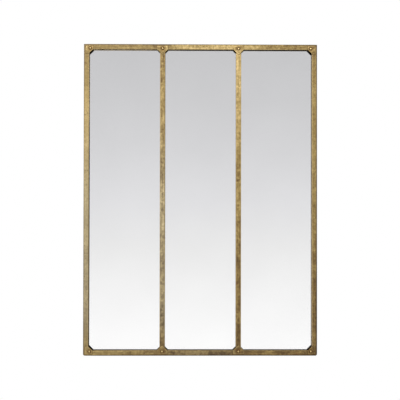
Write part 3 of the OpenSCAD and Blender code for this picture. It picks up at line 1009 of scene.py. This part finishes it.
def zinc_finish():
    """Bright zinc plating: blue-white steel with a fine spangle, scuffs and dulled patches."""
    material, f, place = new_finish("zinc_plated_steel")
    spangle = f.node("ShaderNodeTexVoronoi", inputs={"Vector": place, "Scale": 380.0})
    clouds = f.noise(place, 140.0, 3.0)
    scuffs = f.noise(f.stretch(place, 1500.0, 200.0, 120.0), 1.0, 2.0)
    colour = f.mix(f.spread(clouds, 0.35, 0.65), paint(196, 200, 206), paint(216, 214, 202))
    colour = f.mix(f.spread(scuffs, 0.62, 0.72) * 0.4, colour, paint(150, 150, 150))
    f.surface(
        base_color=colour,
        metallic=1.0,
        roughness=f.spread(0.5 * spangle + 0.5 * clouds, 0.2, 0.8, 0.26, 0.42),
        normal=f.bump(0.5 * spangle + 0.5 * scuffs, 0.12, 0.0001),
    )
    return material


zinc = zinc_finish()
deselect()
add_circle(button_head_radius, head_steps)
button = new_piece("button_master")
edit(button)
for z in (button_half_width, -button_half_width):
    score((0, 0, z), (0, 0, 1))
pick("VERT", lambda middle, part: middle.x > 0 and abs(middle.z) < button_half_width - touching)
bpy.ops.mesh.delete(type="VERT")
pick("VERT", lambda middle, part: (
    middle.x > 0 and abs(abs(middle.z) - button_half_width) < touching
))
round_end = (button_reach - button_half_width, 0, 0)
extrude()
bpy.ops.transform.resize(value=(0, 1, 1), center_override=round_end)
pick("VERT", lambda middle, part: middle.x > button_head_radius and middle.z > 0)
bpy.ops.mesh.spin(steps=round_end_steps, angle=-pi, center=round_end, axis=(0, 1, 0))
add_circle(button_hole_radius, screw_hole_steps)
pick_all()
bpy.ops.mesh.remove_doubles(threshold=touching)
fill_outline()
pick("FACE")
extrude(y=button_high.y - button_low.y)
pick_all()
bpy.ops.mesh.normals_make_consistent(inside=False)
pick("EDGE", lambda middle, part: (
    len(part.link_faces) == 2 and part.calc_face_angle() > sharp_angle
))
round_edges(button_arris)
close_edit()
for node, pivot in button_pivots.items():
    low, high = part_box(node)
    tip = (low + high) / 2 - pivot
    turn = Quaternion((0, 1, 0), 0)
    if abs(tip.z) > abs(tip.x):
        turn = Quaternion((0, 1, 0), -pi / 2 if tip.z > 0 else pi / 2)
    elif tip.x < 0:
        turn = Quaternion((0, 1, 0), pi)
    twin = copy_of(button, node.replace("_button", "_turn_button"))
    place = Matrix.Translation((pivot.x, low.y, pivot.z)) @ turn.to_matrix().to_4x4()
    twin.data.transform(place)
    give(twin, zinc)
    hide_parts(node)
    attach(twin, node)
bpy.data.objects.remove(button)

# Screws: zinc-plated pan-head screws with a cross recess, eight that the buttons turn on and four
# that hold the hangers, driven into the back of the rebate tubes. No two recesses stand alike.
screw_low, screw_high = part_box("turn_button_screws")
hanger_screw_low, hanger_screw_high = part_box("hanger_screws")
screw_head_radius = 0.0038
screw_head_height = 0.002
screw_shank_radius = 0.002
point_length = 0.0008
point_share = 0.6
recess_length = 0.004
recess_width = 0.0009
recess_depth = 0.0012
recess_taper = 0.55
cutter_rise = 0.0005
turn_per_x = 7
turn_per_z = 5


def pan_screw(name, low, high):
    """Screw on the Y axis from its point at low to the top of its head at high."""
    screw = domed_head(name, screw_head_radius, screw_head_height, 0)
    pick("FACE", lambda middle, part: abs(middle.y) < touching)
    draw_in(screw_head_radius, screw_shank_radius)
    shank = high - low - screw_head_height
    extrude(y=shank - point_length)
    draw_in(screw_shank_radius, screw_shank_radius * point_share)
    move(y=point_length)
    close_edit()
    for turn in (0, pi / 2):
        deselect()
        middle = (0, recess_depth / 2 - screw_head_height - cutter_rise, 0)
        bpy.ops.mesh.primitive_cube_add(size=1, location=middle)
        depth = recess_depth + 2 * cutter_rise
        bpy.context.active_object.scale = (recess_length, depth, recess_width)
        bpy.context.active_object.rotation_euler = (0, turn, 0)
        arm = new_piece("recess_cutter")
        edit(arm)
        pick("FACE", lambda middle, part: part.normal.y > 0.5)
        bpy.ops.transform.resize(value=(recess_taper, 1, recess_taper))
        bpy.ops.object.mode_set(mode="OBJECT")
        recess = screw.modifiers.new("recess", "BOOLEAN")
        recess.operation = "DIFFERENCE"
        recess.solver = "EXACT"
        recess.object = arm
        bpy.context.view_layer.objects.active = screw
        bpy.ops.object.modifier_apply(modifier="recess")
        bpy.data.objects.remove(arm)
    screw.data.transform(Matrix.Rotation(pi, 4, "Z"))
    screw.data.transform(Matrix.Translation((0, high - screw_head_height, 0)))
    return screw


button_screw = pan_screw("button_screw_master", screw_low.y, screw_high.y)
for node, pivot in button_pivots.items():
    twin = copy_of(button_screw, node.replace("_button", "_button_screw"))
    turn = pivot.x * turn_per_x + pivot.z * turn_per_z
    twin.data.transform(Matrix.Rotation(turn, 4, "Y"))
    twin.data.transform(Matrix.Translation((pivot.x, 0, pivot.z)))
    give(twin, zinc)
    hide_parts("turn_button_screws")
    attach(twin, "frame")
bpy.data.objects.remove(button_screw)

# Hangers: stamped zinc-plated plates, each with a tongue rolled into an eye round the bar of its
# ring, and two screws into the top rebate tube.
hanger_hole_radius = 0.0021
hanger_corner_radius = 0.003
hanger_screw_half = 0.018
hanger_corner_steps = 6
eye_half = 0.007
eye_inner_radius = 0.00156
eye_turn = radians(-318)
eye_steps = 22
tongue_lead = 0.001
tongue_lean = 0.0001
sheet_thickness = 0.0012
plate_half_height = 0.0065
turn_per_hole = 90
turn_per_side = 3
hanger_screw = pan_screw("hanger_screw_master", hanger_screw_low.y, hanger_screw_high.y)
for side in ("left", "right"):
    node = f"{side}_hanger_plate"
    low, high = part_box(node)
    pivot = pivots[f"{side}_hanger_ring"]
    seat = low.y
    screw_z = high.z - plate_half_height
    strap_foot = high.z - 2 * plate_half_height
    strap = flat_blank(f"{side}_hanger_strap", (low.x, strap_foot), (high.x, high.z), seat)
    edit(strap)
    pick("VERT")
    bpy.ops.mesh.bevel(
        offset=hanger_corner_radius, segments=hanger_corner_steps, affect="VERTICES"
    )
    pick_all()
    bpy.ops.mesh.delete(type="ONLY_FACE")
    for x in (-hanger_screw_half, hanger_screw_half):
        add_circle(hanger_hole_radius, screw_hole_steps, (pivot.x + x, seat, screw_z))
    fill_outline()
    for x in (-eye_half, eye_half):
        score((pivot.x + x, 0, 0), (1, 0, 0))
    pick("FACE")
    extrude(y=sheet_thickness)
    pick_all()
    bpy.ops.mesh.normals_make_consistent(inside=False)
    pick("FACE", lambda middle, part: part.normal.z < -0.9 and abs(middle.x - pivot.x) < eye_half)
    extrude(y=tongue_lean, z=-tongue_lead)
    joggle = pivot.y - seat - sheet_thickness - eye_inner_radius - tongue_lean
    extrude(y=joggle, z=pivot.z - strap_foot + tongue_lead)
    bpy.ops.mesh.spin(steps=eye_steps, angle=eye_turn, center=pivot, axis=(1, 0, 0))
    close_edit()
    give(strap, zinc)
    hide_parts(node)
    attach(strap, "frame")
    for end, x in (("outer", -hanger_screw_half), ("inner", hanger_screw_half)):
        twin = copy_of(hanger_screw, f"{side}_hanger_{end}_screw")
        turn = x * turn_per_hole + pivot.x * turn_per_side
        twin.data.transform(Matrix.Rotation(turn, 4, "Y"))
        twin.data.transform(Matrix.Translation((pivot.x + x, 0, screw_z)))
        give(twin, zinc)
        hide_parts("hanger_screws")
        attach(twin, "frame")
bpy.data.objects.remove(hanger_screw)

# Hanger rings: zinc-plated wire bent into a ring with a straight bar in the eye and a round end.
# Each one rides on its own body and swings in the eye.
wire_radius = 0.0015
ring_half_width = 0.0105
ring_straight = 0.005
ring_bend = 0.003
wire_steps = 16
bend_steps = 6
loop_steps = 28


def bend_wire(point, turn, steps):
    """Bends the open end of the wire round a point."""
    bpy.ops.mesh.spin(steps=steps, angle=turn, center=point, axis=(0, 1, 0))


for side in ("left", "right"):
    node = f"{side}_hanger_ring"
    pivot = pivots[node]
    bar = ring_half_width - ring_bend
    deselect()
    bpy.ops.mesh.primitive_circle_add(
        vertices=wire_steps, radius=wire_radius, location=pivot, rotation=(0, pi / 2, 0)
    )
    ring = new_piece(f"{side}_ring_wire")
    edit(ring)
    pick("EDGE")
    extrude(x=bar)
    bend_wire(pivot + Vector((bar, 0, -ring_bend)), -pi / 2, bend_steps)
    extrude(z=ring_bend - ring_straight)
    bend_wire(pivot + Vector((0, 0, -ring_straight)), -pi, loop_steps)
    extrude(z=ring_straight - ring_bend)
    bend_wire(pivot + Vector((-bar, 0, -ring_bend)), -pi / 2, bend_steps)
    extrude(x=bar)
    close_edit(60)
    give(ring, zinc)
    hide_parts(node)
    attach(ring, node)

# Wall bumpers: moulded rubber feet stuck to the backs of the stiles, bevelled round their faces,
# with a shallow hollow in the middle. They keep the hangers clear of the wall.
foot_steps = 40
foot_bevel = 0.0008
foot_rim = 0.0016
hollow_slope = 0.0008
hollow_depth = 0.0006


def rubber_finish():
    """Black rubber, dusty and slightly grained."""
    material, f, place = new_finish("black_rubber")
    skin = f.noise(place, 1200.0, 3.0)
    dust = f.spread(f.noise(place, 160.0, 3.0), 0.45, 0.75)
    colour = f.mix(dust * 0.4, paint(22, 22, 22), paint(58, 56, 53))
    dullness = f.spread(skin, 0.3, 0.7, 0.55, 0.75)
    f.surface(base_color=colour, roughness=dullness, normal=f.bump(skin, 0.3, 0.0001))
    return material


rubber = rubber_finish()
for row in ("top", "bottom"):
    for side in ("left", "right"):
        node = f"{row}_{side}_bumper"
        low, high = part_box(node)
        deselect()
        bpy.ops.mesh.primitive_cylinder_add(
            vertices=foot_steps,
            radius=(high.x - low.x) / 2,
            depth=high.y - low.y,
            location=(low + high) / 2,
            rotation=(pi / 2, 0, 0),
        )
        foot = new_piece(f"{row}_{side}_foot")
        edit(foot)
        pick("EDGE", lambda middle, part: all(abs(v.co.y - high.y) < touching for v in part.verts))
        round_edges(foot_bevel, arris_steps)
        pick("FACE", lambda middle, part: part.normal.y > 0.99)
        bpy.ops.mesh.inset(thickness=foot_rim)
        bpy.ops.mesh.inset(thickness=hollow_slope, depth=-hollow_depth)
        close_edit()
        give(foot, rubber)
        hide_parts(node)
        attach(foot, "frame")

# Floor: a plain pale studio floor well below the mirror, which hangs at eye height. It takes the
# mirror's soft shadow, and far off it glows to the camera, so that it runs into the white backdrop.
floor_drop = 0.9
floor_size = 14
floor_paint = (0.72, 0.72, 0.72, 1.0)
glow_start = 1.6
glow_full = 2.8
deselect()
bpy.ops.mesh.primitive_plane_add(size=floor_size, location=(0, 0, frame_bottom - floor_drop))
floor = new_piece("studio_floor")


def floor_finish():
    """Pale floor paint, and the glow that the camera sees far from the mirror."""
    material, f, place = new_finish("studio_white")
    x, y = f.split(place)[:2]
    far = f.spread(f.maths("SQRT", x * x + y * y), glow_start, glow_full)
    camera_ray = f.node("ShaderNodeLightPath", output="Is Camera Ray")
    coat = f.node("ShaderNodeBsdfDiffuse", inputs={"Color": floor_paint})
    glow = f.node("ShaderNodeEmission", inputs={"Strength": 1.0})
    both = f.node("ShaderNodeMixShader", inputs={0: camera_ray * far, 1: coat, 2: glow})
    f.add("ShaderNodeOutputMaterial", inputs={"Surface": both})
    return material


give(floor, floor_finish())
floor.visible_glossy = False
floor.visible_transmission = False

# Studio: white to the camera. The glass and the metal mirror the room's tall gradient, which is
# paler low down, as all three panes of the photograph show, and dimmer on the right.
diffuse_light = (0.55, 0.55, 0.55, 1.0)
backdrop_white = (1.0, 1.0, 1.0, 1.0)
dim_wall = paint(120, 119, 118)
dim_start = 0.3
dim_full = 0.8
dim_share = 0.6
world = bpy.data.worlds.new("studio")
world.use_nodes = True
bpy.context.scene.world = world
f = Finish(world.node_tree)
direction = f.split(f.node("ShaderNodeTexCoord", output="Generated"))
limits = {"Value": direction[2], "From Min": -0.5, "From Max": 0.5}
rise = f.node("ShaderNodeMapRange", inputs=limits)
gradient = f.node(
    "ShaderNodeValToRGB",
    {"stops": [
        (0.32, paint(255, 255, 255)),
        (0.34, paint(254, 254, 254)),
        (0.39, paint(247, 247, 247)),
        (0.45, paint(237, 237, 237)),
        (0.51, paint(226, 226, 228)),
        (0.57, paint(216, 216, 218)),
        (0.63, paint(207, 207, 209)),
        (0.69, paint(201, 201, 203)),
        (1.00, paint(182, 182, 186)),
    ]},
    {"Fac": rise},
)
camera_ray = f.node("ShaderNodeLightPath", output="Is Camera Ray")
glossy_ray = f.node("ShaderNodeLightPath", output="Is Glossy Ray")
clear_ray = f.node("ShaderNodeLightPath", output="Is Transmission Ray")
mirror_ray = f.maths("MAXIMUM", glossy_ray, clear_ray)
limits = {"Value": direction[0], "From Min": dim_start, "From Max": dim_full}
dim_side = f.node("ShaderNodeMapRange", inputs=limits)
room = f.mix(dim_side * dim_share, gradient, dim_wall)
plain = f.mix(camera_ray, diffuse_light, backdrop_white)
seen = f.mix(mirror_ray * (1 - camera_ray), plain, room)
sky = f.node("ShaderNodeBackground", inputs={"Color": seen, "Strength": 1.0})
f.add("ShaderNodeOutputWorld", inputs={"Surface": sky})

# Lamps: a large softbox high on the left in front, a weaker one on the right, and one behind that
# lights the back. The panes mirror the room but none of the lamps.
for layer in pane_layers.collection_objects:
    layer.light_linking.link_state = "EXCLUDE"


def softbox(name, place, size, power):
    """Square softbox that faces the middle of the mirror."""
    bpy.ops.object.light_add(type="AREA", location=place)
    lamp = bpy.context.active_object
    lamp.name = name
    lamp.data.size = size
    lamp.data.energy = power
    lamp.light_linking.receiver_collection = pane_layers
    lamp.rotation_euler = (frame_middle - Vector(place)).to_track_quat("-Z", "Y").to_euler()


softbox("key_softbox", (-1.1, -2.4, 2.3), 1.8, 100)
softbox("fill_softbox", (2.2, -2.6, 1.6), 1.6, 30)
softbox("back_softbox", (-1.4, 2.8, 1.8), 1.8, 90)
